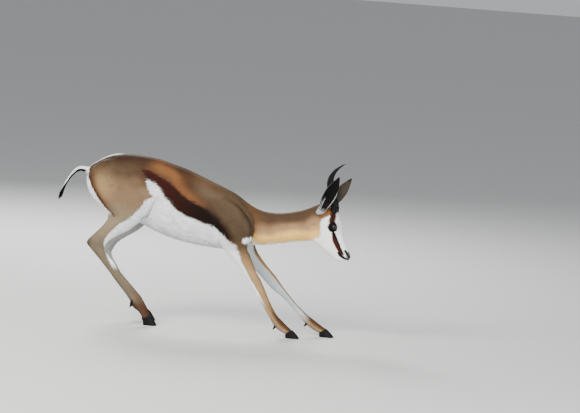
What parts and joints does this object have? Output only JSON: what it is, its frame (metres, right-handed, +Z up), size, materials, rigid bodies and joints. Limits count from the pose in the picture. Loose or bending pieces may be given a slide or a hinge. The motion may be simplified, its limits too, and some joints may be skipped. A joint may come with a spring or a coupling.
{
  "type": "springbok",
  "caption": "Life-size standing springbok antelope, forelegs braced forward and head held low, ringed horns, tail held out from the rump.",
  "frame": {"origin": "on the floor, under the middle of the model's bounding box", "axes": "+X the way the animal faces, +Y its left side, +Z up"},
  "size_m": [1.221, 0.198, 0.7047],
  "materials": {
    "coat": "short flat hair, cinnamon back, dark flank band and white belly",
    "face": "short white hair with brown and black stripes",
    "ear": "thin hair, dark and nearly bare inside",
    "tail": "white hair with a black line below and a black tuft",
    "horn": "ringed horn with a dull shine",
    "hoof": "smooth dark horn",
    "eye": "wet dark brown"
  },
  "bodies": {
    "root": {"torso": "coat", "neck": "coat", "head": "face", "tail": "tail", "hindleg_right": "coat", "foreleg_right": "coat", "hindleg_left": "coat", "foreleg_left": "coat", "eye_right": "eye", "horn_right": "horn", "ear_right": "ear", "eye_left": "eye", "horn_left": "horn", "ear_left": "ear", "hoof_hind_right_inner": "hoof", "hoof_hind_right_outer": "hoof", "hoof_hind_left_inner": "hoof", "hoof_hind_left_outer": "hoof", "hoof_fore_right_inner": "hoof", "hoof_fore_right_outer": "hoof", "hoof_fore_left_inner": "hoof", "hoof_fore_left_outer": "hoof", "dewclaw_hind_right_inner": "hoof", "dewclaw_hind_right_outer": "hoof", "dewclaw_hind_left_inner": "hoof", "dewclaw_hind_left_outer": "hoof", "dewclaw_fore_right_inner": "hoof", "dewclaw_fore_right_outer": "hoof", "dewclaw_fore_left_inner": "hoof", "dewclaw_fore_left_outer": "hoof"}
  },
  "joints": []
}
